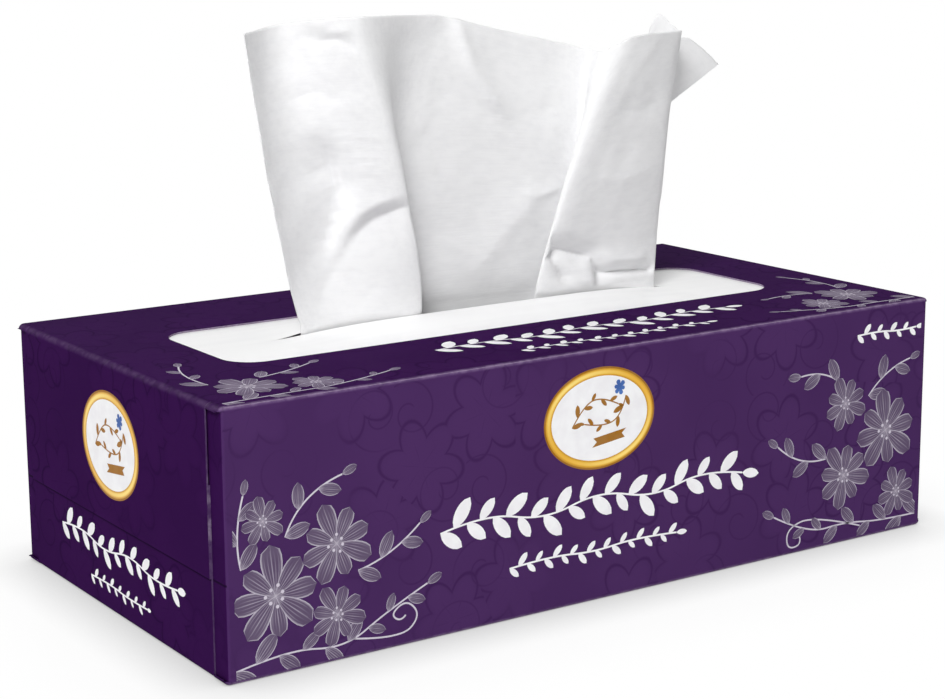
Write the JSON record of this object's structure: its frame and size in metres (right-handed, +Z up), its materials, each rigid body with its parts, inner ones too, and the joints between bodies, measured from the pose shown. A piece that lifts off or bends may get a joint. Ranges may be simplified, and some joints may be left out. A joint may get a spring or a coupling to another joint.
{
  "type": "tissue box",
  "caption": "Flat rectangular carton of facial tissues with a film window in its lid panel, glued end flaps and a pleated tissue standing in the slit.",
  "frame": {"origin": "centre of the carton's bottom face, on the table", "axes": "+X along the length with the right end ahead, +Y from the front panel to the back panel, +Z up"},
  "size_m": [0.23, 0.12, 0.1523],
  "materials": {
    "printed_board": "satin",
    "film": "gloss",
    "tissue": "matt"
  },
  "bodies": {
    "root": {"carton": "printed_board", "window_film": "film", "tissue_stack": "tissue", "raised_tissue": "tissue"}
  },
  "joints": []
}
